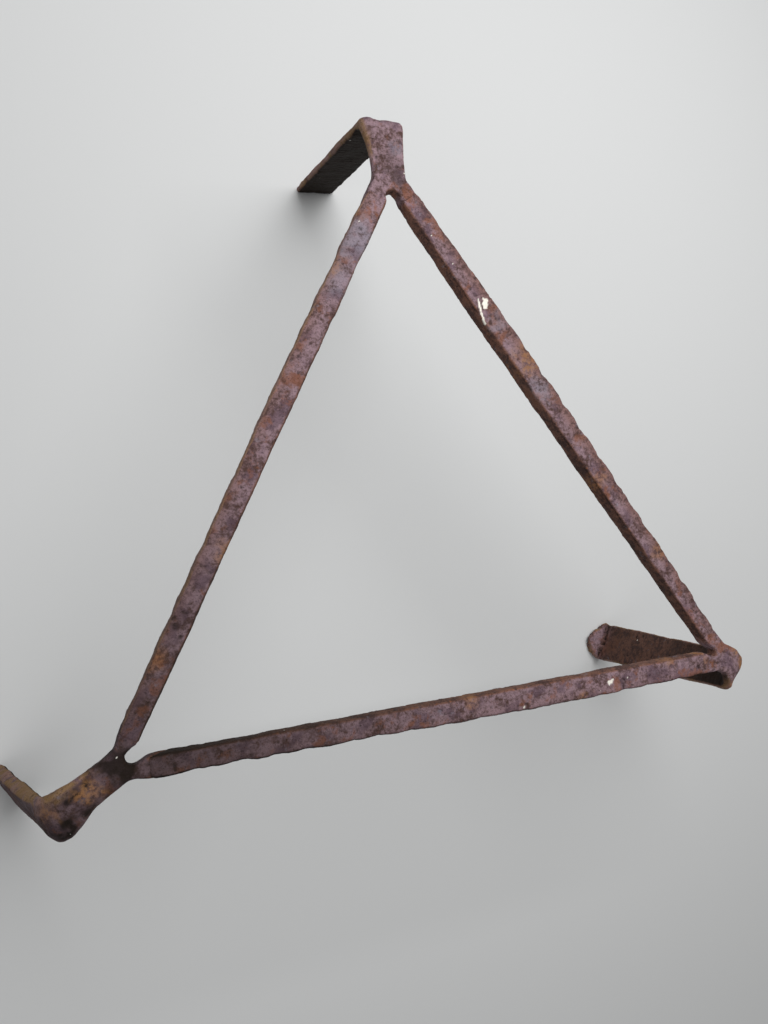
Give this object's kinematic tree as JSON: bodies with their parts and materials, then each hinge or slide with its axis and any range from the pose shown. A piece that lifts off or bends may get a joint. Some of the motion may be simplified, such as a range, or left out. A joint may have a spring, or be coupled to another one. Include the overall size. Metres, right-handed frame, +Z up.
{
  "type": "three-legged fire trivet",
  "caption": "Hand-forged iron trivet: a triangle of square bars on splayed strap legs, to hold a pot over a fire.",
  "frame": {"origin": "centre of the bounding box on the floor plane that the three feet stand on", "axes": "+Z up, +X along the front rail towards the right leg, +Y towards the back leg"},
  "size_m": [0.509, 0.4506, 0.175],
  "materials": {
    "rusted_bar": "old wrought iron bar with a thin purple-brown rust skin, pitted and hammer-marked",
    "rusted_strap": "old wrought iron strap, heavier brown rust with orange patches on the bends and edges"
  },
  "bodies": {
    "root": {"front_rail": "rusted_bar", "left_rail": "rusted_bar", "right_rail": "rusted_bar", "back_leg": "rusted_strap", "left_leg": "rusted_strap", "right_leg": "rusted_strap"}
  },
  "joints": []
}
